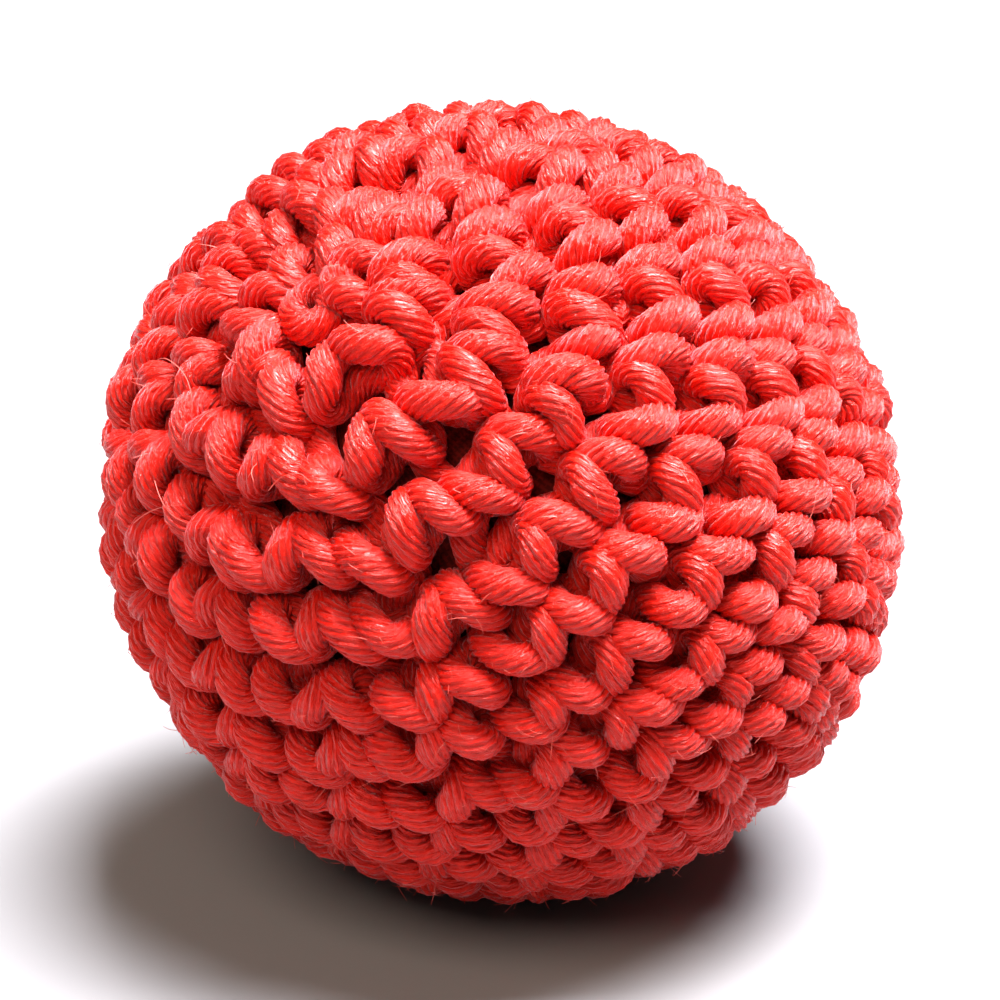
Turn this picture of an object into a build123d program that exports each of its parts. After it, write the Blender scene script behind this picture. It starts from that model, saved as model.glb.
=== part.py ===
"""Juggling ball: a single-crochet yarn cover, closed round a tied cloth liner that is full of pellets.

+Z is up. The ball rests on a small patch that its own weight presses flat, and the origin is the middle
of that patch. The crochet is worked in rounds about an axis that leans towards the front left.
"""

from build123d import *
import os
from itertools import product
from math import asin, cos, degrees, radians, sin, sqrt

# ---------------------------------------------------------------- driving dimensions (mm, degrees)
ball_diameter = 65.0
rest_patch_diameter = 18.0
start_pole_direction = (-0.458, -0.543, 0.704)

round_count = 17
equator_crowding = 4.9  # degrees that the rounds shift towards the equator, where they are shallowest
wall_thickness = 5.8
groove_depth = 0.9

yarn_diameter = 2.6
ring_inner_diameter = 0.7
ring_clearance = 0.05
ring_sink = 1.4

tail_diameter = 2.4
tail_sink = 1.4
start_tail_round = 2
finish_tail_round = 16
start_tail_arc = 300.0
finish_tail_arc = 320.0

liner_clearance = 0.1
liner_thickness = 0.6
liner_shoulder_angle = 146.0
neck_radius = 3.0
neck_depth = 3.6
ruffle_radius = 5.4
ruffle_height = 1.0
ruffle_clearance = 0.1
tie_thread_diameter = 0.9
tie_turns = 2
tie_gap = 0.04

pellet_diameter = 7.2
pellet_gap = 0.1
pellet_clearance = 0.15

# ---------------------------------------------------------------- derived dimensions
ball_radius = ball_diameter / 2
rest_patch_radius = rest_patch_diameter / 2
centre_height = sqrt(ball_radius**2 - rest_patch_radius**2)
inner_radius = ball_radius - wall_thickness
groove_radius = ball_radius - groove_depth
ring_minor_radius = yarn_diameter / 2
ring_major_radius = ring_inner_diameter / 2 + ring_minor_radius
ring_seat_radius = ring_major_radius + ring_minor_radius + ring_clearance
liner_radius = inner_radius - liner_clearance
liner_inner_radius = liner_radius - liner_thickness

centre = Vector(0, 0, centre_height)
start_pole = Vector(*start_pole_direction).normalized()
ball_axis = Axis(centre, start_pole)
sideways = Vector(0, 0, 1).cross(start_pole).normalized()
# The half plane that every revolved profile is drawn on: x is the distance from the ball's axis and
# y the height along it, measured from the ball's centre towards the start pole.
profile_plane = Plane(origin=centre, x_dir=sideways, z_dir=sideways.cross(start_pole))


def polar(radius, angle):
    """The profile point at this radius from the ball's centre and this angle from the start pole."""
    return (radius * sin(radians(angle)), radius * cos(radians(angle)))


def boundary_angle(boundary, radius):
    """The angle of the face between two rounds; the first and last are the rings' round seats."""
    seat_angle = degrees(asin(ring_seat_radius / radius))
    if boundary == 0:
        return seat_angle
    if boundary == round_count:
        return 180 - seat_angle
    outer_seat_angle = degrees(asin(ring_seat_radius / groove_radius))
    pitch = (180 - 2 * outer_seat_angle) / round_count
    even_angle = outer_seat_angle + boundary * pitch
    return even_angle + equator_crowding * sin(radians(2 * even_angle))


def middle_angle(number):
    """The angle of the middle of a round, counted from 1."""
    return (boundary_angle(number - 1, groove_radius) + boundary_angle(number, groove_radius)) / 2


def yarn_ring(label, direction):
    """A tight loop of yarn in its seat at one pole; direction is 1 at the start and -1 at the end."""
    height = direction * (ball_radius - ring_sink - ring_minor_radius)
    with BuildPart() as ring:
        with BuildSketch(profile_plane):
            with Locations((ring_major_radius, height)):
                Circle(ring_minor_radius)
        revolve(axis=ball_axis)
    ring.part.label = label
    return ring.part


def yarn_tail(label, number, arc):
    """An end of the yarn, woven through the wall along the middle of one round."""
    with BuildPart() as tail:
        with BuildSketch(profile_plane):
            with Locations(polar(inner_radius + tail_sink, middle_angle(number))):
                Circle(tail_diameter / 2)
        revolve(axis=ball_axis, revolution_arc=arc)
    tail.part.label = label
    return tail.part


def cover_round(number):
    """One round of the crocheted wall: a bulged band between its two neighbours."""
    near, far = number - 1, number
    middle = middle_angle(number)
    outer_near = polar(groove_radius, boundary_angle(near, groove_radius))
    outer_far = polar(groove_radius, boundary_angle(far, groove_radius))
    inner_near = polar(inner_radius, boundary_angle(near, inner_radius))
    inner_far = polar(inner_radius, boundary_angle(far, inner_radius))
    with BuildPart() as band:
        with BuildSketch(profile_plane):
            with BuildLine():
                ThreePointArc(outer_near, polar(ball_radius, middle), outer_far)
                Line(outer_far, inner_far)
                ThreePointArc(inner_far, polar(inner_radius, middle), inner_near)
                Line(inner_near, outer_near)
            make_face()
        revolve(axis=ball_axis)
        # Below the rest plane the wall is pressed flat.
        if band.part.bounding_box().min.Z < 0:
            split(bisect_by=Plane.XY, keep=Keep.TOP)
        if number == start_tail_round:
            add(yarn_tail("socket", number, start_tail_arc), mode=Mode.SUBTRACT)
        if number == finish_tail_round:
            add(yarn_tail("socket", number, finish_tail_arc), mode=Mode.SUBTRACT)
    band.part.label = f"cover_round_{number:02d}"
    return band.part


def liner_bag():
    """The cloth bag: a thin globe that runs into a gathered neck and a small ruffle at the end pole."""
    shoulder = polar(liner_radius, liner_shoulder_angle)
    inner_shoulder = polar(liner_inner_radius, liner_shoulder_angle)
    neck_top = -(liner_radius - neck_depth)
    ruffle_bottom = -(liner_radius - ruffle_clearance) * cos(asin(ruffle_radius / liner_radius))
    neck_bottom = ruffle_bottom + ruffle_height
    with BuildPart() as bag:
        with BuildSketch(profile_plane):
            with BuildLine():
                Line((0, liner_radius), (0, liner_inner_radius))
                ThreePointArc(
                    (0, liner_inner_radius),
                    polar(liner_inner_radius, liner_shoulder_angle / 2),
                    inner_shoulder,
                )
                Line(inner_shoulder, (0, neck_top + liner_thickness))
                Line((0, neck_top + liner_thickness), (0, ruffle_bottom))
                Line((0, ruffle_bottom), (ruffle_radius, ruffle_bottom))
                Line((ruffle_radius, ruffle_bottom), (neck_radius, neck_bottom))
                Line((neck_radius, neck_bottom), (neck_radius, neck_top))
                Line((neck_radius, neck_top), shoulder)
                ThreePointArc(shoulder, polar(liner_radius, liner_shoulder_angle / 2), (0, liner_radius))
            make_face()
        revolve(axis=ball_axis)
    bag.part.label = "liner_bag"
    return bag.part


def liner_tie():
    """The thread that closes the neck: turns side by side."""
    top = -(liner_radius - neck_depth) - tie_thread_diameter / 2
    with BuildPart() as tie:
        with BuildSketch(profile_plane):
            for turn in range(tie_turns):
                with Locations((neck_radius + tie_thread_diameter / 2, top - turn * tie_thread_diameter)):
                    Circle((tie_thread_diameter - tie_gap) / 2)
        revolve(axis=ball_axis)
    tie.part.label = "liner_tie"
    return tie.part


def pellet_places():
    """Close-packed places inside the liner that leave its neck clear."""
    spacing = (pellet_diameter + pellet_gap) / sqrt(2)
    reach = liner_inner_radius - pellet_diameter / 2 - pellet_clearance
    shoulder_height = liner_inner_radius * cos(radians(liner_shoulder_angle))
    floor = shoulder_height + pellet_diameter / 2 + pellet_clearance
    steps = range(-int(reach / spacing) - 1, int(reach / spacing) + 2)
    for i, j, k in product(steps, steps, steps):
        place = Vector(i * spacing, j * spacing, k * spacing)
        even = (i + j + k) % 2 == 0
        if even and place.length <= reach and place.dot(start_pole) >= floor:
            yield centre + place


def filling_pellets():
    """The loose filling, as separate round pellets."""
    with BuildPart() as pellets:
        with Locations(*pellet_places()):
            Sphere(pellet_diameter / 2)
    pellets.part.label = "filling_pellets"
    return pellets.part


pieces = [cover_round(number) for number in range(1, round_count + 1)]
pieces.append(yarn_ring("start_ring", 1))
pieces.append(yarn_ring("closing_ring", -1))
pieces.append(yarn_tail("start_tail", start_tail_round, start_tail_arc))
pieces.append(yarn_tail("finish_tail", finish_tail_round, finish_tail_arc))
pieces.append(liner_bag())
pieces.append(liner_tie())
pieces.append(filling_pellets())

os.makedirs("parts", exist_ok=True)
for piece in pieces:
    export_step(piece, f"parts/{piece.label}.step")
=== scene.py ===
"""A crocheted juggling ball: every stitch is worked from one plied yarn in a spiral, pole to pole."""

from math import asin, cos, pi, radians, sin, sqrt, tan

import bpy
import numpy as np
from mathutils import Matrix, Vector


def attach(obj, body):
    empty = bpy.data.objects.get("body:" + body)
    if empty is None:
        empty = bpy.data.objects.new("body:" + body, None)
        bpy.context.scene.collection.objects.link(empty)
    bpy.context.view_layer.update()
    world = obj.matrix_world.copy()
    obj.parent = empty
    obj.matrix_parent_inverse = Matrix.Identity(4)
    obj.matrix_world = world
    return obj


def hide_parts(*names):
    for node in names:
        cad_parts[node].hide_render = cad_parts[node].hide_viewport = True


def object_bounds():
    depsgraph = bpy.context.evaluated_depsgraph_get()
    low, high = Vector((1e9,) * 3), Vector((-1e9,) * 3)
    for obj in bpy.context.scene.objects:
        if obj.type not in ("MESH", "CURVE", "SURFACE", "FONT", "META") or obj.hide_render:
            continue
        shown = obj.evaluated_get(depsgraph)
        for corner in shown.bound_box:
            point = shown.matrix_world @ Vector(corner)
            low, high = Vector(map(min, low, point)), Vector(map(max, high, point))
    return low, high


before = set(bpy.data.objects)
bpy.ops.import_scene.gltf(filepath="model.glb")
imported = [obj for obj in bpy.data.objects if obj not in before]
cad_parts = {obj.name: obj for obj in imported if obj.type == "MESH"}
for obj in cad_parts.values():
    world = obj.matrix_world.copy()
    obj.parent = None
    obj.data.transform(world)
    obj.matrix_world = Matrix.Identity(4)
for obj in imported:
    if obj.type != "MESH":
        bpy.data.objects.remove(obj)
cad_low, cad_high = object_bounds()
rng = np.random.default_rng(65)

# Lengths are in mm, and angles in degrees unless they are made with radians().

# ---------------------------------------------------------------- the ball, from the frame
MM = 0.001
BALL_RADIUS = (cad_high[0] - cad_low[0]) / 2 / MM
CENTRE = np.array([0.0, 0.0, cad_high[2] / MM - BALL_RADIUS])
ROUNDS = sorted(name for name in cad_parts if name.startswith("cover_round_"))
ROUND_COUNT = len(ROUNDS)
# The thickness of the crocheted wall.
WALL = 5.8

# ---------------------------------------------------------------- the view and the crochet's axis
ELEVATION = radians(20.0)
CAMERA_DISTANCE = 8.0 * BALL_RADIUS
VIEW_RIGHT = np.array([1.0, 0.0, 0.0])
VIEW_UP = np.array([0.0, sin(ELEVATION), cos(ELEVATION)])
VIEW_TOWARD = np.array([0.0, -cos(ELEVATION), sin(ELEVATION)])

START_POLE = np.array([-0.458, -0.543, 0.704])
START_POLE = START_POLE / np.linalg.norm(START_POLE)
AXIS_X = np.cross([0.0, 0.0, 1.0], START_POLE)
AXIS_X = AXIS_X / np.linalg.norm(AXIS_X)
AXIS_Y = np.cross(START_POLE, AXIS_X)

# ---------------------------------------------------------------- the ball's shape
# It is a little longer towards its upper left and lower right as the camera sees it.
LONG_ANGLE = radians(137.0)
LONG_WAY = cos(LONG_ANGLE) * VIEW_RIGHT + sin(LONG_ANGLE) * VIEW_UP
SHORT_WAY = -sin(LONG_ANGLE) * VIEW_RIGHT + cos(LONG_ANGLE) * VIEW_UP
STRETCH = 0.0165
# Below this height the ball is pressed up towards its rest patch.
PRESS_HEIGHT = 1.6
# Yarn that would hang this far below the round ball comes to lie on the floor.
PRESS_REACH = 0.6

# ---------------------------------------------------------------- the yarn
YARN_RADIUS = 1.41
# Inside the wall the yarn is squeezed a little. That starts so far in from the wall's middle, and is full
# after so much more.
INSIDE_SQUEEZE = 0.02
INSIDE_FROM = 0.3
INSIDE_OVER = 1.6
PLIES = 12
PLY_DEPTH = 0.15
PLY_SHARPNESS = 1.2
TWIST_LENGTH = 9.0
# The yarn swells and thins in a long wave and a short one: its share of the radius, and its length / 2 pi.
LONG_SWELL = 0.06
LONG_WAVE = 3.1
SHORT_SWELL = 0.05
SHORT_WAVE = 1.27
YARN_ROUGHNESS = 0.045
RING_POINTS = 48
STEP = 0.6
SOFTENING = 2
CURVE_POINTS = 12
# A direction that no path here runs along, to start its frames from.
SIDE_HINT = [0.3, 0.5, 0.8]

# ---------------------------------------------------------------- the crochet
STITCH_COUNTS = [6, 10, 13, 15, 17, 19, 21, 22, 22, 22, 21, 19, 17, 15, 13, 10, 6]
SEAT_ANGLE = 5.5
PITCH = (180.0 - 2 * SEAT_ANGLE) / ROUND_COUNT
EQUATOR_CROWDING = 4.9
FIRST_ANGLE = 3.0
FIRST_FADE = 0.08
LAST_ANGLE = 4.0
# How far each round goes past a full turn, in stitches. Below zero it stops short, and the stitches lean.
LEAN = -0.33
# How far the last top loops are from their own stitches, in turns.
GATHERED_RISE = 0.6
# How far the crests of the stitches stand out from the wall's middle.
CREST = 1.3
MIDDLE_RADIUS = BALL_RADIUS - CREST - YARN_RADIUS
HIDDEN = -1.75
SUNK_DEPTH = 1.6
STITCH_HEIGHT = 4.75
STRAND = 2.57
POINT_JITTER = np.array([0.17, 0.15, 0.09])
STITCH_JITTER = np.array([0.36, 0.33, 0.2])
# The first rounds are worked less evenly, most of all the very first.
START_UNEVENNESS = 0.7
START_TURNS = 3.0

# One stitch, as the yarn runs through it: across the round, away from the start pole, and out of the ball.
LEGS = [
    (-2.8, 5.0, HIDDEN),
    (-2.9, 3.1, HIDDEN),
    (-2.3, 1.6, HIDDEN),
    (-1.0, 1.0, HIDDEN),
    (-0.4, 0.55, -1.0),
    (-0.5, 0.85, 0.75),
    (-0.95, 1.7, 1.3),
    (-1.45, 2.55, 1.15),
    (-1.85, 3.2, 0.3),
    (-1.9, 3.4, -1.2),
    (-0.9, 2.5, HIDDEN),
    (0.6, 2.3, HIDDEN),
    (1.9, 3.6, -1.2),
    (1.95, 3.35, 0.4),
    (1.65, 2.6, 1.3),
    (1.15, 1.7, 1.4),
    (0.6, 0.85, 0.8),
    (0.4, 0.55, -0.9),
    (0.9, 0.9, HIDDEN),
    (2.3, 1.7, HIDDEN),
    (2.3, 3.1, HIDDEN),
    (1.2, 4.2, HIDDEN),
]
# Its top loop, in its own place in the next round, on the front of the cover and then back inside.
TOP_LOOP = [
    (-1.0, 1.1, -1.6),
    (-0.9, 1.25, 0.3),
    (-0.2, 2.0, 1.35),
    (0.6, 2.85, 1.4),
    (1.25, 3.5, 0.5),
    (1.4, 3.65, -1.2),
    (1.1, 3.0, HIDDEN),
    (0.2, 1.4, HIDDEN),
]

# ---------------------------------------------------------------- the rings and tails
RING_RADIUS = 1.65
RING_SINK = 1.4
RING_YARN = 1.3
RING_HEIGHT = BALL_RADIUS - RING_SINK - RING_YARN
RING_STEPS = 96
# Each tail's piece, its node, the round that it is woven through, and how far round it goes.
TAILS = [
    ("yarn_start_tail", "start_tail", 2, 300.0),
    ("yarn_finish_tail", "finish_tail", 16, 320.0),
]
TAIL_LIFT = 1.4
TAIL_HEIGHT = BALL_RADIUS - WALL + TAIL_LIFT - MIDDLE_RADIUS
TAIL_YARN = 1.15
TAIL_POINTS = 40
TAIL_WANDER = 0.5
TAPER_LENGTH = 1.5
BLUNT_END = 0.06

# ---------------------------------------------------------------- the fuzz
HAIR_COUNT = 4600
HAIR_SIDES = 3
HAIR_POINTS = 6
HAIR_RADIUS = 0.028
HAIR_TIP = 0.5
HAIR_LENGTHS = (0.35, 1.4)
# Where a hair starts, in parts of the yarn's radius: out from the yarn's middle, and to a side.
HAIR_ROOT = 0.88
HAIR_OFFSET = 0.4
# How far a hair leans, lifts and then bends back, beside each step that it takes along the yarn.
HAIR_LEAN = 0.25
HAIR_LIFTS = (0.2, 0.7)
HAIR_DROOPS = (0.1, 0.8)
HAIR_SWAY = 0.7
HAIR_BEND = 0.7
# A direction that no hair runs along.
HAIR_HINT = [0.31, 0.52, 0.79]
STRAY_RADIUS = 0.04
STRAY_CURVE_POINTS = 5
# The square of how far out the strays lie, in parts of the ball's radius.
STRAY_REACH_SQUARED = 1.012
# Longer loose fibres on the left of the ball, in parts of its radius to the right and up.
STRAYS = [
    [(-0.83, 0.30), (-0.797, 0.323), (-0.767, 0.321), (-0.725, 0.286), (-0.705, 0.237), (-0.703, 0.192)],
    [(-0.86, -0.06), (-0.82, -0.035), (-0.775, -0.02), (-0.73, -0.015)],
    [(-0.80, 0.04), (-0.785, 0.0), (-0.76, -0.035), (-0.72, -0.055), (-0.69, -0.05)],
    [(-0.52, 0.02), (-0.49, 0.05), (-0.45, 0.06), (-0.42, 0.04)],
]

# ---------------------------------------------------------------- the liner, its tie and the filling
LINER_RADIUS = 26.6
LINER_THICKNESS = 0.6
SHOULDER_ANGLE = 146.0
GATHER_ANGLE = 60.0
GATHER_DEPTH = 0.75
NECK_RADIUS = 3.0
NECK_BORE = 0.6
NECK_DEPTH = 3.6
NECK_TOP = -(LINER_RADIUS - NECK_DEPTH)
NECK_FOLD = 0.4
RUFFLE_RADIUS = 5.4
RUFFLE_CLEARANCE = 0.1
RUFFLE_LOW = -(LINER_RADIUS - RUFFLE_CLEARANCE) * cos(asin(RUFFLE_RADIUS / LINER_RADIUS))
RUFFLE_HEIGHT = 1.0
RUFFLE_FOLD = 1.5
RUFFLE_DISH = 0.15
PLEATS = 30
CLOTH_POINTS = 240
GLOBE_STEPS = 90
NECK_STEPS = 14
RUFFLE_STEPS = 8

TIE_SIZE = 0.9
TIE_TURNS = 2
TIE_THREAD = 0.43
TIE_PLIES = 3
TIE_TWISTS = 7

PELLET_SIZE = 7.2
PELLET_GAP = 0.1
PELLET_CLEARANCE = 0.15
PELLET_RINGS = 17
PELLET_POINTS = 22
PELLET_FULLNESS = 0.975
PELLET_FLATNESS = 0.985
# A pellet's marks, as shares of its radius, and their widths in radians.
PELLET_DIMPLES = 0.006
PARTING_HEIGHT = 0.012
PARTING_WIDTH = 0.05
GATE_DEPTH = 0.02
GATE_WIDTH = 0.25
# How far a pellet's first and last rings of points are from its poles, in radians.
PELLET_POLE = 0.03

# ---------------------------------------------------------------- the stage and the camera
FLOOR_HALF_M = 3.0
SENSOR = 36.0
# The ball's radius as a share of half the picture's width.
FRAME_SHARE = 0.8072
CAMERA_SHIFT = Vector((-0.13, 0, 0.28))
CLIP_START_M = 0.01


# ---------------------------------------------------------------- curves and frames
def smooth_curve(points, per_span=CURVE_POINTS):
    """A Catmull-Rom curve through the points, with the place on it of each point."""
    p = np.vstack([2 * points[0] - points[1], points, 2 * points[-1] - points[-2]])
    t = np.linspace(0, 1, per_span, endpoint=False)[:, None]
    p0, p1, p2, p3 = (p[i : len(p) - 3 + i][:, None, :] for i in range(4))
    curve = 0.5 * (
        2 * p1
        + (p2 - p0) * t
        + (2 * p0 - 5 * p1 + 4 * p2 - p3) * t**2
        + (3 * p1 - p0 - 3 * p2 + p3) * t**3
    )
    return np.vstack([curve.reshape(-1, 3), points[-1:]]), np.arange(len(points)) * per_span


def even_steps(curve, marks):
    """The curve in even steps, and the step at each mark."""
    lengths = np.r_[0, np.cumsum(np.linalg.norm(np.diff(curve, axis=0), axis=1))]
    count = int(round(lengths[-1] / STEP))
    at = np.linspace(0, lengths[-1], count + 1)
    even = np.stack([np.interp(at, lengths, curve[:, i]) for i in range(3)], 1)
    return even, np.searchsorted(at, lengths[marks])


def soften(values):
    """Rounds off values in place along their first axis, all but the ends."""
    for _ in range(SOFTENING):
        values[1:-1] = 0.5 * values[1:-1] + 0.25 * (values[:-2] + values[2:])
    return values


def unit(vectors):
    """Each row at length 1."""
    return vectors / np.linalg.norm(vectors, axis=1)[:, None]


def turning_frames(path):
    """Two directions across the yarn at each step, turned as little as possible along it."""
    tangents = unit(np.gradient(path, axis=0))
    side = np.cross(tangents[0], SIDE_HINT)
    side /= np.linalg.norm(side)
    sides = np.empty_like(path)
    for i, tangent in enumerate(tangents):
        side = side - tangent * side.dot(tangent)
        side = side / np.linalg.norm(side)
        sides[i] = side
    return sides, np.cross(tangents, sides)


def even_angles(count):
    """This many angles round a full turn, in radians."""
    return np.arange(count) * 2 * pi / count


def across(angles, sides, ups):
    """Directions across a path at these angles, which have a row for each step or one row for all."""
    return np.cos(angles)[:, :, None] * sides[:, None, :] + np.sin(angles)[:, :, None] * ups[:, None, :]


# ---------------------------------------------------------------- meshes
def settle(points):
    """The ball's uneven stuffing, and the flat patch where it rests."""
    v = points - CENTRE
    v = v + STRETCH * (np.outer(v @ LONG_WAY, LONG_WAY) - np.outer(v @ SHORT_WAY, SHORT_WAY))
    v = v + CENTRE
    low = v[:, 2] < PRESS_HEIGHT
    bottom = CENTRE[2] - BALL_RADIUS
    part = (v[low, 2] - PRESS_HEIGHT) / (PRESS_HEIGHT - bottom + PRESS_REACH)
    v[low, 2] = PRESS_HEIGHT * (1 + part)
    v[:, 2] = np.maximum(v[:, 2], 0.0)
    return v


def lattice_faces(rows, columns, closed):
    """The corners of a lattice's faces and each face's number of corners. Its open ends are capped."""
    i = np.arange(rows if closed else rows - 1)[:, None]
    j = np.arange(columns)[None, :]
    beside, after = (j + 1) % columns, (i + 1) % rows
    quads = np.stack(
        [i * columns + j, i * columns + beside, after * columns + beside, after * columns + j], 2
    ).reshape(-1, 4)
    corners = [quads.ravel()]
    sizes = [np.full(len(quads), 4)]
    if not closed:
        corners += [np.arange(columns)[::-1], (rows - 1) * columns + np.arange(columns)]
        sizes.append(np.full(2, columns))
    return np.concatenate(corners), np.concatenate(sizes)


def lattice_mesh(name, lattices, attributes, closed):
    """A mesh of lattices of points, each of rings that close on themselves, with values at its points."""
    verts, corners, sizes, base = [], [], [], 0
    for lattice in lattices:
        rows, columns = lattice.shape[:2]
        lattice_corners, lattice_sizes = lattice_faces(rows, columns, closed)
        corners.append(base + lattice_corners)
        sizes.append(lattice_sizes)
        verts.append(settle(lattice.reshape(-1, 3)))
        base += rows * columns
    verts, corners, sizes = np.concatenate(verts), np.concatenate(corners), np.concatenate(sizes)
    mesh = bpy.data.meshes.new(name)
    mesh.vertices.add(len(verts))
    mesh.vertices.foreach_set("co", (verts * MM).ravel())
    mesh.loops.add(len(corners))
    mesh.loops.foreach_set("vertex_index", corners.astype(np.int32))
    mesh.polygons.add(len(sizes))
    mesh.polygons.foreach_set("loop_start", np.r_[0, np.cumsum(sizes)[:-1]].astype(np.int32))
    mesh.polygons.foreach_set("loop_total", sizes.astype(np.int32))
    mesh.polygons.foreach_set("use_smooth", np.ones(len(sizes), bool))
    mesh.update()
    mesh.validate()
    for key, values in attributes.items():
        vector = values[0].ndim == 3
        attribute = mesh.attributes.new(key, "FLOAT_VECTOR" if vector else "FLOAT", "POINT")
        flat = np.concatenate([v.ravel() for v in values])
        attribute.data.foreach_set("vector" if vector else "value", flat)
    piece = bpy.data.objects.new(name, mesh)
    bpy.context.scene.collection.objects.link(piece)
    return piece


def placed(piece, material, slot, *nodes):
    """A piece with its material, riding on the root body in place of these CAD nodes."""
    piece.data.materials.append(material)
    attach(piece, "root")
    if nodes:
        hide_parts(*nodes)


def yarn_lattice(path, sides, ups, lengths, radius, plies=PLIES, twist=TWIST_LENGTH):
    """A plied yarn along a path: its points, and their fibre and furrow values. Furrow is 1 between plies,
    and masks the painted shade there.
    """
    around = even_angles(RING_POINTS)
    turned = around[None, :] - 2 * pi * lengths[:, None] / twist
    ply = np.abs(np.sin(plies / 2 * around)) ** PLY_SHARPNESS
    long_swell = LONG_SWELL * np.sin(lengths / LONG_WAVE)
    short_swell = SHORT_SWELL * np.sin(lengths / SHORT_WAVE + 1)
    swell = radius * (1 + long_swell + short_swell)
    r = swell[:, None] * (1 - PLY_DEPTH + PLY_DEPTH * ply)[None, :]
    rough = soften(rng.normal(0, 1, r.shape))
    rough = 0.5 * rough + 0.25 * (np.roll(rough, 1, 1) + np.roll(rough, -1, 1))
    r = r * (1 + YARN_ROUGHNESS * rough)
    verts = path[:, None, :] + r[:, :, None] * across(turned, sides, ups)
    fibre = np.stack(
        [
            np.broadcast_to(np.mean(radius) * np.cos(around), r.shape),
            np.broadcast_to(np.mean(radius) * np.sin(around), r.shape),
            np.broadcast_to(lengths[:, None], r.shape),
        ],
        2,
    )
    return verts, fibre, 1 - np.broadcast_to(ply, r.shape)


def yarn_mesh(name, *lattices, closed=False):
    """One piece of one or more yarn lattices."""
    verts, fibres, furrows = zip(*lattices)
    return lattice_mesh(name, verts, {"fibre": fibres, "furrow": furrows}, closed)


# ---------------------------------------------------------------- materials
def new_material(name, constants):
    """A material, its nodes, its links and its shader, with these constants on the shader's own sockets."""
    material = bpy.data.materials.new(name)
    material.use_nodes = True
    nodes = material.node_tree.nodes
    shader = nodes["Principled BSDF"]
    for socket, value in constants.items():
        shader.inputs[socket].default_value = value
    return material, nodes, material.node_tree.links, shader


def attribute_node(nodes, name):
    """A node that reads one of the mesh's own values."""
    node = nodes.new("ShaderNodeAttribute")
    node.attribute_name = name
    return node


def noise_node(nodes, links, vector, scale):
    """Noise over a vector, of so many bumps to its unit."""
    noise = nodes.new("ShaderNodeTexNoise")
    noise.inputs["Scale"].default_value = scale
    links.new(vector, noise.inputs["Vector"])
    return noise


def bump_node(nodes, links, height, strength, distance):
    """Relief from a height, as deep as the distance."""
    bump = nodes.new("ShaderNodeBump")
    bump.inputs["Strength"].default_value = strength
    bump.inputs["Distance"].default_value = distance * MM
    links.new(height, bump.inputs["Height"])
    return bump


def two_tones(nodes, links, factor, dark, light, start=0.3, end=0.7):
    """A ramp from a dark colour to a light one as the factor rises from start to end."""
    ramp = nodes.new("ShaderNodeValToRGB")
    for element, place, colour in zip(ramp.color_ramp.elements, (start, end), (dark, light)):
        element.position = place
        element.color = (*colour, 1)
    links.new(factor, ramp.inputs["Fac"])
    return ramp.outputs["Color"]


def yarn_material():
    """Coral cotton: fine fibre relief along the plies, painted shade in the furrows between them, and a soft
    pink sheen.
    """
    constants = {
        "Sheen Weight": 0.4,
        "Sheen Roughness": 0.2,
        "Sheen Tint": (1.0, 0.5, 0.55, 1),
        "Specular IOR Level": 0.5,
        "Specular Tint": (1.0, 0.62, 0.58, 1),
    }
    material, nodes, links, shader = new_material("coral_yarn", constants)
    fibre = attribute_node(nodes, "fibre")
    furrow = attribute_node(nodes, "furrow")
    stretch = nodes.new("ShaderNodeVectorMath")
    stretch.operation = "MULTIPLY"
    stretch.inputs[1].default_value = (1.0, 1.0, 0.5)
    links.new(fibre.outputs["Vector"], stretch.inputs[0])
    fine = noise_node(nodes, links, stretch.outputs["Vector"], scale=3.6)
    fine.inputs["Detail"].default_value = 4.0
    broad = noise_node(nodes, links, fibre.outputs["Vector"], scale=0.55)

    dark, light = (0.50, 0.004, 0.0008), (0.86, 0.012, 0.002)
    dye = two_tones(nodes, links, fine.outputs["Fac"], dark, light, start=0.25, end=0.75)
    # Painted shade: the yarn's colour is darkened between the plies, where the furrow value is 1.
    furrow_shade = nodes.new("ShaderNodeMix")
    furrow_shade.data_type = "RGBA"
    furrow_shade.blend_type = "MULTIPLY"
    furrow_shade.inputs["B"].default_value = (0.80, 0.66, 0.66, 1)
    links.new(furrow.outputs["Fac"], furrow_shade.inputs["Factor"])
    links.new(dye, furrow_shade.inputs["A"])
    links.new(furrow_shade.outputs["Result"], shader.inputs["Base Color"])

    rough = nodes.new("ShaderNodeMapRange")
    rough.inputs["To Min"].default_value = 0.24
    rough.inputs["To Max"].default_value = 0.38
    links.new(broad.outputs["Fac"], rough.inputs["Value"])
    links.new(rough.outputs["Result"], shader.inputs["Roughness"])
    bump = bump_node(nodes, links, fine.outputs["Fac"], strength=1.0, distance=0.65)
    links.new(bump.outputs["Normal"], shader.inputs["Normal"])
    return material


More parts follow.
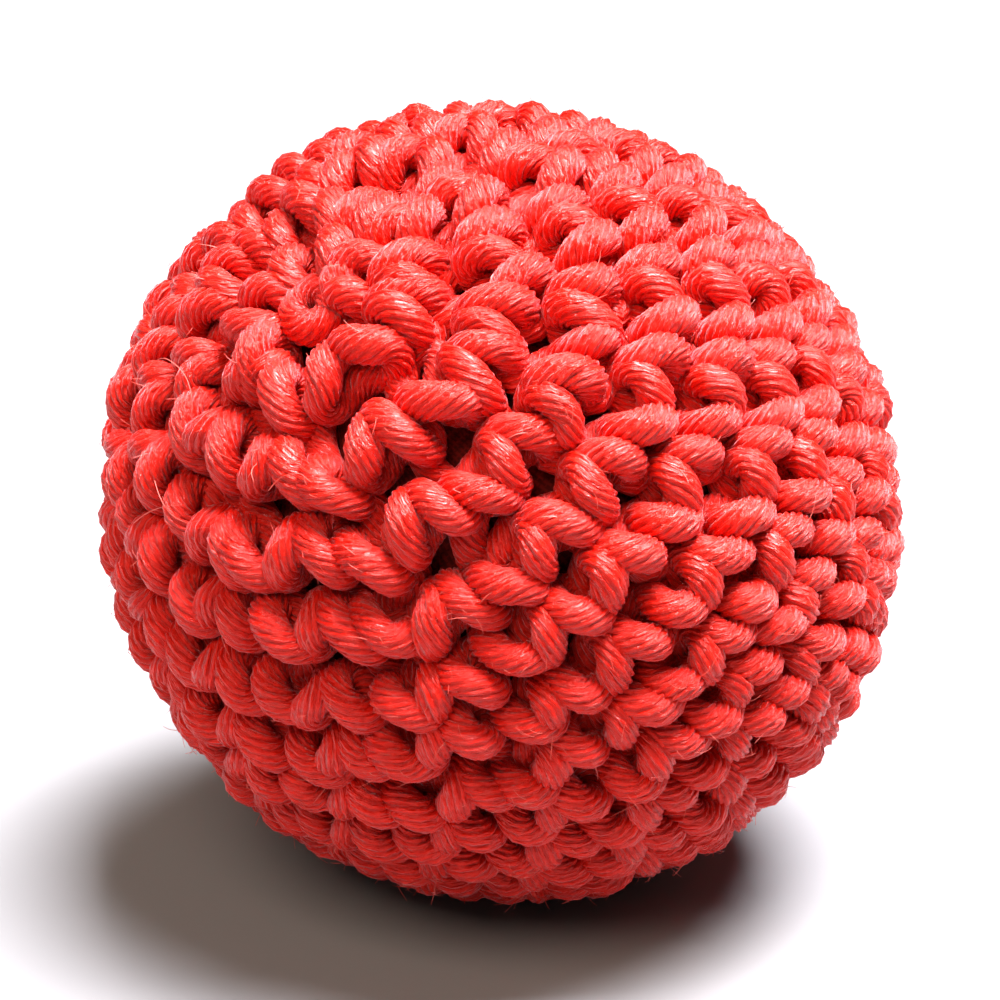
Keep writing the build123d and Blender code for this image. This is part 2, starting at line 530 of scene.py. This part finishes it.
def painted_shade_cloth_material():
    """A plain weave, thread over thread, in the liner's deep red cloth, made darker as painted shade for the
    holes in the cover where it shows.
    """
    constants = {"Roughness": 0.85, "Specular IOR Level": 0.2}
    material, nodes, links, shader = new_material("liner_cloth", constants)
    weave = attribute_node(nodes, "weave").outputs["Vector"]
    checks = nodes.new("ShaderNodeTexChecker")
    checks.inputs["Scale"].default_value = 2.6
    links.new(weave, checks.inputs["Vector"])
    cross = nodes.new("ShaderNodeMix")
    links.new(checks.outputs["Fac"], cross.inputs["Factor"])
    for direction, side in (("X", "A"), ("Y", "B")):
        thread = nodes.new("ShaderNodeTexWave")
        thread.bands_direction = direction
        thread.inputs["Scale"].default_value = 0.41
        thread.inputs["Distortion"].default_value = 0.4
        links.new(weave, thread.inputs["Vector"])
        links.new(thread.outputs["Fac"], cross.inputs[side])
    fuzz = noise_node(nodes, links, weave, scale=3.0)
    fibres = bump_node(nodes, links, fuzz.outputs["Fac"], strength=0.3, distance=0.1)
    threads = bump_node(nodes, links, cross.outputs["Result"], strength=0.7, distance=0.12)
    links.new(fibres.outputs["Normal"], threads.inputs["Normal"])
    links.new(threads.outputs["Normal"], shader.inputs["Normal"])
    # Painted shade: the cloth is this dark so that the holes in the cover, where it shows, look shaded.
    dark, light = (0.16, 0.008, 0.005), (0.30, 0.016, 0.010)
    colour = two_tones(nodes, links, cross.outputs["Result"], dark, light)
    links.new(colour, shader.inputs["Base Color"])
    return material


def speckled_material(name, vector_name, dark, light, roughness, scale, strength, distance):
    """Two tones and a fine relief, both from one noise. Over the piece's own place, or over its fibres."""
    material, nodes, links, shader = new_material(name, {"Roughness": roughness})
    if vector_name == "Object":
        vector = nodes.new("ShaderNodeTexCoord").outputs["Object"]
    else:
        vector = attribute_node(nodes, vector_name).outputs["Vector"]
    noise = noise_node(nodes, links, vector, scale).outputs["Fac"]
    bump = bump_node(nodes, links, noise, strength, distance)
    links.new(bump.outputs["Normal"], shader.inputs["Normal"])
    links.new(two_tones(nodes, links, noise, dark, light), shader.inputs["Base Color"])
    return material


def thread_material():
    """Waxed cotton."""
    dark, light = (0.42, 0.38, 0.30), (0.60, 0.56, 0.47)
    return speckled_material(
        "tie_thread", "fibre", dark, light, roughness=0.45, scale=6.0, strength=0.6, distance=0.1
    )


def pellet_material():
    """Undyed plastic."""
    dark, light = (0.50, 0.49, 0.43), (0.66, 0.65, 0.59)
    return speckled_material(
        "pellets", "Object", dark, light, roughness=0.38, scale=900.0, strength=0.25, distance=0.1
    )


def fuzz_painted_highlight_material():
    """The yarn's single fibres, paler and pinker than the yarn: painted highlight."""
    # Painted highlight: the light tone is a pale pink, where the yarn's own colour is deep red.
    dark, light = (0.58, 0.03, 0.015), (0.82, 0.17, 0.13)
    return speckled_material(
        "yarn_fuzz", "Object", dark, light, roughness=0.4, scale=400.0, strength=0.2, distance=0.02
    )


YARN = yarn_material()


# ---------------------------------------------------------------- the cover
def spiral_angle(turns):
    """The angle from the start pole of the spiral's inner edge, after this many turns."""
    turns = np.asarray(turns, float)
    even = SEAT_ANGLE + PITCH * (turns - 0.5)
    angle = even + EQUATOR_CROWDING * np.sin(np.radians(2 * even))
    # Both ends are drawn in, so that the first and last stitches crowd round the poles.
    angle = angle - FIRST_ANGLE * np.exp(-FIRST_FADE * turns**2)
    angle = np.cbrt(FIRST_ANGLE**3 + np.maximum(angle, 0) ** 3)
    return 180 - np.cbrt(LAST_ANGLE**3 + np.maximum(180 - angle, 0) ** 3)


def on_ball(angle, longitude, height):
    """Points by angle from the start pole, longitude about the axis in radians, and height in the wall."""
    a, b = np.radians(angle), longitude
    out = (
        np.cos(a)[:, None] * START_POLE
        + (np.sin(a) * np.cos(b))[:, None] * AXIS_X
        + (np.sin(a) * np.sin(b))[:, None] * AXIS_Y
    )
    return CENTRE + out * (MIDDLE_RADIUS + height)[:, None]


def round_slots(count, before):
    """What lies along a round, in order: each entry's kind, its number, and its width in strands.

    A stitch takes two strands' width. Each top loop of the round before takes one, beside the last stitch
    that is worked into it. Where two stitches are worked together, the loop between them is sunk.
    """
    slots = []
    for stitch in range(count):
        slots.append(("stitch", stitch, 2))
        if before and count >= before:
            parent = stitch * before // count
            if (stitch + 1) * before // count > parent:
                slots.append(("loop", parent, 1))
        elif before:
            parents = [p for p in range(before) if p * count // before == stitch]
            slots += [("sunk", parent, 0) for parent in parents[:-1]]
            slots.append(("loop", parents[-1], 1))
    return slots


def lay_out_rounds():
    """The longitude, turns and strand width of every stitch, and of every top loop in the next round."""
    stitches, loops = [], []
    start = 0.0
    before = 0
    for number, count in enumerate(STITCH_COUNTS):
        slots = round_slots(count, before)
        total = sum(size for _, _, size in slots)
        sweep = 2 * pi * (1 + (LEAN / count if number else 0))
        here, above = [], {}
        reached = 0
        for kind, index, size in slots:
            middle = reached + size / 2
            place = (start + sweep * middle / total, number + middle / total, sweep / total)
            if kind == "stitch":
                here.append(place)
            else:
                above[index] = (*place, kind == "sunk")
            reached += size
        stitches.append(here)
        if number:
            loops.append([above[index] for index in sorted(above)])
        start += sweep
        before = count
    # The last round's top loops are gathered inside the closing ring.
    gathered = [(longitude, turns + GATHERED_RISE, width, True) for longitude, turns, width in stitches[-1]]
    loops.append(gathered)
    return stitches, loops


def worked(template, longitude, turns, width, sink=0.0):
    """A template's points on the ball, a little uneven as handwork is."""
    points = np.array(template)
    uneven = 1 + START_UNEVENNESS * np.exp(-((turns / START_TURNS) ** 2))
    points = points + rng.normal(0, 1, points.shape) * POINT_JITTER
    points = points + rng.normal(0, 1, 3) * STITCH_JITTER * np.array([uneven, uneven, 1])
    rise = points[:, 1] / STITCH_HEIGHT
    row = spiral_angle(turns + 1) - spiral_angle(turns)
    return on_ball(
        spiral_angle(turns) + rise * row,
        longitude + points[:, 0] / STRAND * width,
        np.maximum(points[:, 2] - sink, HIDDEN),
    )


def yarn_path():
    """The control points of the whole yarn, and the index where each round starts."""
    stitches, loops = lay_out_rounds()
    points, starts = [], []
    for here, above in zip(stitches, loops):
        starts.append(sum(len(p) for p in points))
        for stitch, (*loop, sunk) in zip(here, above):
            points.append(worked(LEGS, *stitch))
            points.append(worked(TOP_LOOP, *loop, SUNK_DEPTH if sunk else 0.0))
    return np.concatenate(points), starts


def cover():
    """The whole yarn, cut at its rounds. Gives its path, and how far inside each step is, from 0 to 1."""
    control, round_starts = yarn_path()
    curve, marks = smooth_curve(control)
    path, steps = even_steps(curve, marks)
    path = soften(path)
    from_centre = np.linalg.norm(path - CENTRE, axis=1)
    depth = np.clip((MIDDLE_RADIUS - INSIDE_FROM - from_centre) / INSIDE_OVER, 0, 1)
    thickness = YARN_RADIUS * (1 - INSIDE_SQUEEZE * depth)
    sides, ups = turning_frames(path)
    lengths = np.arange(len(path)) * STEP
    cuts = [0, *steps[round_starts[1:]], len(path) - 1]
    for number, (node, first, last) in enumerate(zip(ROUNDS, cuts, cuts[1:]), 1):
        part = slice(first, last + 1)
        lattice = yarn_lattice(path[part], sides[part], ups[part], lengths[part], thickness[part])
        placed(yarn_mesh(f"yarn_round_{number:02d}", lattice), YARN, "coral_yarn", node)
    return path, depth


# ---------------------------------------------------------------- the rings at the poles, and the tails
def yarn_ring(radius, height, thickness, plies, twists):
    """A closed ring of yarn or thread about the axis, with a whole number of twists in it."""
    around = np.linspace(0, 2 * pi, RING_STEPS, endpoint=False)
    ring = (
        CENTRE
        + START_POLE * height
        + radius * (np.cos(around)[:, None] * AXIS_X + np.sin(around)[:, None] * AXIS_Y)
    )
    sides = np.repeat(START_POLE[None, :], RING_STEPS, 0)
    tangents = unit(np.roll(ring, -1, 0) - np.roll(ring, 1, 0))
    lengths = np.arange(RING_STEPS) * 2 * pi * radius / RING_STEPS
    twist = 2 * pi * radius / twists
    return yarn_lattice(ring, sides, np.cross(tangents, sides), lengths, thickness, plies, twist)


def tail_lattice(number, arc):
    """A yarn end woven round inside the wall under a round, tapered at both its ends."""
    even = (number - 0.5) * 180 / ROUND_COUNT
    angle = even + EQUATOR_CROWDING * sin(radians(2 * even))
    along = np.radians(np.linspace(0, arc, TAIL_POINTS))
    wander = rng.normal(0, TAIL_WANDER, TAIL_POINTS)
    height = np.full(TAIL_POINTS, TAIL_HEIGHT)
    curve, marks = smooth_curve(on_ball(np.full(TAIL_POINTS, angle) + wander, along, height))
    tail, _ = even_steps(curve, marks)
    ends = np.minimum(np.arange(len(tail)), np.arange(len(tail))[::-1]) * STEP
    taper = np.sqrt(np.clip(ends / TAPER_LENGTH, BLUNT_END, 1))
    return yarn_lattice(tail, *turning_frames(tail), np.arange(len(tail)) * STEP, TAIL_YARN * taper)


def pole_rings():
    """The ring that the first round is worked into, and the one that gathers the last."""
    for name, node, pole in (("yarn_start_ring", "start_ring", 1), ("yarn_closing_ring", "closing_ring", -1)):
        ring = yarn_ring(RING_RADIUS, pole * RING_HEIGHT, RING_YARN, PLIES, 1)
        placed(yarn_mesh(name, ring, closed=True), YARN, "coral_yarn", node)


def yarn_tails():
    """The yarn's two ends, woven through the wall."""
    for name, node, number, arc in TAILS:
        placed(yarn_mesh(name, tail_lattice(number, arc)), YARN, "coral_yarn", node)


# ---------------------------------------------------------------- the yarn's fuzz
def hair(points, thickness):
    """A fine fibre through the points, thinner at its end, as a lattice."""
    tangents = unit(np.gradient(points, axis=0))
    sides = unit(np.cross(tangents, HAIR_HINT))
    size = thickness * np.linspace(1, HAIR_TIP, len(points))[:, None, None]
    ring = across(even_angles(HAIR_SIDES)[None, :], sides, np.cross(tangents, sides))
    return points[:, None, :] + size * ring


def short_hair(root, tangent, outward):
    """The points of a short fibre that leaves the yarn along it and bends back down."""
    lean = rng.normal(0, HAIR_LEAN, 3)
    side = np.cross(tangent, outward)
    start = root + (outward * HAIR_ROOT + side * rng.uniform(-HAIR_OFFSET, HAIR_OFFSET)) * YARN_RADIUS
    first = tangent * rng.choice([-1, 1]) + outward * rng.uniform(*HAIR_LIFTS) + lean
    bend = side * rng.normal(0, HAIR_SWAY) - outward * rng.uniform(*HAIR_DROOPS)
    along = np.linspace(0, rng.uniform(*HAIR_LENGTHS), HAIR_POINTS)[:, None]
    return start + first * along + HAIR_BEND * bend * along**2


def stray_hair(stray):
    """The points of a longer fibre that lies over the front of the ball."""
    right, up = np.array(stray).T
    near = np.sqrt(STRAY_REACH_SQUARED - right**2 - up**2)
    points = right[:, None] * VIEW_RIGHT + up[:, None] * VIEW_UP + near[:, None] * VIEW_TOWARD
    return smooth_curve(CENTRE + BALL_RADIUS * points, STRAY_CURVE_POINTS)[0]


def yarn_fuzz(path, depth):
    """Short fibres all over the outside of the yarn, and the few longer strays."""
    outward = unit(path - CENTRE)
    tangents = unit(np.gradient(path, axis=0))
    roots = rng.choice(np.flatnonzero(depth == 0), HAIR_COUNT, replace=False)
    hairs = [hair(short_hair(path[root], tangents[root], outward[root]), HAIR_RADIUS) for root in roots]
    hairs += [hair(stray_hair(stray), STRAY_RADIUS) for stray in STRAYS]
    placed(lattice_mesh("yarn_fuzz", hairs, {}, closed=False), fuzz_painted_highlight_material(), "coral_yarn")


# ---------------------------------------------------------------- the liner and its tie
def turned_cloth(outline):
    """A closed surface turned about the axis. Its outline is (radius, height, pleat depth) points."""
    outline = np.array(outline)
    around = even_angles(CLOTH_POINTS)
    # The pleats are gathered by hand, so they are unevenly spaced.
    fold = 0.5 + 0.5 * np.cos(PLEATS * around + 1.3 * np.sin(3 * around) + 0.8 * np.sin(7 * around))
    radius = outline[:, :1] - outline[:, 2:] * fold[None, :]
    verts = (
        CENTRE
        + outline[:, 1][:, None, None] * START_POLE
        + (radius * np.cos(around))[:, :, None] * AXIS_X
        + (radius * np.sin(around))[:, :, None] * AXIS_Y
    )
    steps = np.r_[0, np.cumsum(np.linalg.norm(np.diff(outline[:, :2], axis=0), axis=1))]
    weave = np.stack(
        [
            np.broadcast_to(around * LINER_RADIUS, radius.shape),
            np.broadcast_to(steps[:, None], radius.shape),
            np.zeros(radius.shape),
        ],
        2,
    )
    return verts, weave


def globe_and_neck(radius, neck, mouth):
    """A globe that runs into a gathered neck, down to the height of its mouth."""
    globe = np.radians(np.linspace(0.5, SHOULDER_ANGLE, GLOBE_STEPS))
    gathered = np.clip((np.degrees(globe) - GATHER_ANGLE) / (SHOULDER_ANGLE - GATHER_ANGLE), 0, 1)
    folds = GATHER_DEPTH * gathered**2
    points = [(radius * sin(angle), radius * cos(angle), fold) for angle, fold in zip(globe, folds)]
    shoulder, height, _ = points[-1]
    for share in np.linspace(0, 1, NECK_STEPS)[1:]:
        points.append((
            shoulder + (neck - shoulder) * share,
            height + (mouth - height) * share,
            GATHER_DEPTH + (NECK_FOLD - GATHER_DEPTH) * share,
        ))
    return points


def ruffle(mouth):
    """The cloth past the tie: along the neck, flared out to the ruffle's edge, and closed across its end."""
    points = []
    top = RUFFLE_LOW + RUFFLE_HEIGHT
    for share in np.linspace(0, 1, RUFFLE_STEPS)[1:]:
        points.append((NECK_RADIUS, mouth + (top - mouth) * share, NECK_FOLD))
    for share in np.linspace(0, 1, RUFFLE_STEPS)[1:]:
        points.append((
            NECK_RADIUS + (RUFFLE_RADIUS - NECK_RADIUS) * share,
            top - RUFFLE_HEIGHT * share,
            NECK_FOLD + (RUFFLE_FOLD - NECK_FOLD) * share,
        ))
    for share in (0.8, 0.5, 0.2, 0.02):
        points.append((RUFFLE_RADIUS * share, RUFFLE_LOW + RUFFLE_DISH * share, RUFFLE_FOLD * share))
    return points


def cloth_liner():
    """The liner bag: its outside, and the hollow in it, whose surface faces the other way."""
    outside = turned_cloth(globe_and_neck(LINER_RADIUS, NECK_RADIUS, NECK_TOP) + ruffle(NECK_TOP))
    outside = [values[::-1] for values in outside]
    bottom = NECK_TOP + LINER_THICKNESS
    hollow = globe_and_neck(LINER_RADIUS - LINER_THICKNESS, NECK_BORE, bottom) + [(0.05, bottom, 0.0)]
    verts, weaves = zip(outside, turned_cloth(hollow))
    liner = lattice_mesh("cloth_liner", verts, {"weave": weaves}, closed=False)
    placed(liner, painted_shade_cloth_material(), "liner_cloth", "liner_bag")


def neck_tie():
    """Two turns of thread round the neck."""
    turns = []
    for turn in range(TIE_TURNS):
        height = NECK_TOP - TIE_SIZE / 2 - TIE_SIZE * turn
        turns.append(yarn_ring(NECK_RADIUS + TIE_SIZE / 2, height, TIE_THREAD, TIE_PLIES, TIE_TWISTS))
    placed(yarn_mesh("neck_tie", *turns, closed=True), thread_material(), "tie_thread", "liner_tie")


# ---------------------------------------------------------------- the filling
def pellet_places():
    """Close-packed places inside the liner that leave its neck clear."""
    spacing = (PELLET_SIZE + PELLET_GAP) / sqrt(2)
    inner = LINER_RADIUS - LINER_THICKNESS
    reach = inner - PELLET_SIZE / 2 - PELLET_CLEARANCE
    low = inner * cos(radians(SHOULDER_ANGLE)) + PELLET_SIZE / 2 + PELLET_CLEARANCE
    steps = range(-int(reach / spacing) - 1, int(reach / spacing) + 2)
    cells = [(i, j, k) for i in steps for j in steps for k in steps if (i + j + k) % 2 == 0]
    places = [np.array(cell) * spacing for cell in cells]
    return [CENTRE + p for p in places if np.linalg.norm(p) <= reach and p @ START_POLE >= low]


def pellet(place):
    """A moulded pellet: a slightly flattened ball with a parting line, a gate mark and small dimples."""
    up = np.linspace(pi - PELLET_POLE, PELLET_POLE, PELLET_RINGS)[:, None]
    around = even_angles(PELLET_POINTS)[None, :]
    dimples = np.sin(3 * around + 5 * up + rng.uniform(0, 6))
    waves = PELLET_DIMPLES * dimples + PELLET_DIMPLES * np.cos(2 * around - 4 * up)
    parting_line = PARTING_HEIGHT * np.exp(-(((up - pi / 2) / PARTING_WIDTH) ** 2))
    gate_mark = -GATE_DEPTH * np.exp(-((up / GATE_WIDTH) ** 2))
    size = PELLET_SIZE / 2 * (PELLET_FULLNESS + waves * np.sin(up) + parting_line + gate_mark)
    points = np.stack(
        [
            size * np.sin(up) * np.cos(around),
            size * np.sin(up) * np.sin(around),
            size * np.cos(up) * np.ones_like(around) * PELLET_FLATNESS,
        ],
        2,
    )
    turn = np.linalg.qr(rng.normal(0, 1, (3, 3)))[0]
    turn *= np.sign(np.linalg.det(turn))
    return place + points @ turn.T


def pellet_filling():
    """All the pellets, as one piece."""
    pellets = [pellet(place) for place in pellet_places()]
    filling = lattice_mesh("pellet_filling", pellets, {}, closed=False)
    placed(filling, pellet_material(), "pellets", "filling_pellets")


# ---------------------------------------------------------------- the stage, the lights and the camera
def pale_floor():
    """A matt floor under the ball."""
    mesh = bpy.data.meshes.new("floor")
    corners = [(x * FLOOR_HALF_M, y * FLOOR_HALF_M, 0) for x, y in ((-1, -1), (1, -1), (1, 1), (-1, 1))]
    mesh.from_pydata(corners, [], [(0, 1, 2, 3)])
    material, *_ = new_material("floor", {"Base Color": (0.22, 0.22, 0.22, 1), "Roughness": 0.9})
    floor = bpy.data.objects.new("floor", mesh)
    bpy.context.scene.collection.objects.link(floor)
    floor.data.materials.append(material)


def soft_surroundings():
    """A faint white light from all round."""
    world = bpy.data.worlds.new("world")
    bpy.context.scene.world = world
    world.use_nodes = True
    background = world.node_tree.nodes["Background"]
    background.inputs["Color"].default_value = (1, 1, 1, 1)
    background.inputs["Strength"].default_value = 0.09


def area_light(name, place, size, power, colour):
    """A square light that faces the ball. Its place and size are in metres, and its power in watts."""
    data = bpy.data.lights.new(name, "AREA")
    data.size = size
    data.energy = power
    data.color = colour
    light = bpy.data.objects.new(name, data)
    light.location = place
    light.rotation_euler = (Vector(place) - Vector(CENTRE * MM)).to_track_quat("Z", "Y").to_euler()
    bpy.context.scene.collection.objects.link(light)


def place_camera():
    """A camera that sees the ball's middle from its elevation, with the ball's outline at its share."""
    data = bpy.data.cameras.new("camera")
    camera = bpy.data.objects.new("camera", data)
    bpy.context.scene.collection.objects.link(camera)
    toward = Vector(VIEW_TOWARD)
    camera.location = Vector(CENTRE * MM) + toward * CAMERA_DISTANCE * MM + CAMERA_SHIFT * MM
    camera.rotation_euler = toward.to_track_quat("Z", "Y").to_euler()
    outline = asin(BALL_RADIUS / CAMERA_DISTANCE)
    data.sensor_width = SENSOR
    data.lens = SENSOR / 2 * FRAME_SHARE / tan(outline)
    data.clip_start = CLIP_START_M
    bpy.context.scene.camera = camera
    bpy.context.scene.view_settings.view_transform = "Standard"


# ---------------------------------------------------------------- the whole scene
path, depth = cover()
pole_rings()
yarn_tails()
yarn_fuzz(path, depth)
cloth_liner()
neck_tie()
pellet_filling()

pale_floor()
soft_surroundings()
area_light("key", place=(0.2, 0.03, 0.76), size=0.44, power=51.0, colour=(0.96, 0.94, 1.0))
area_light("fill", place=(-0.3, -0.55, 0.75), size=0.5, power=6.3, colour=(1.0, 0.84, 0.70))
place_camera()
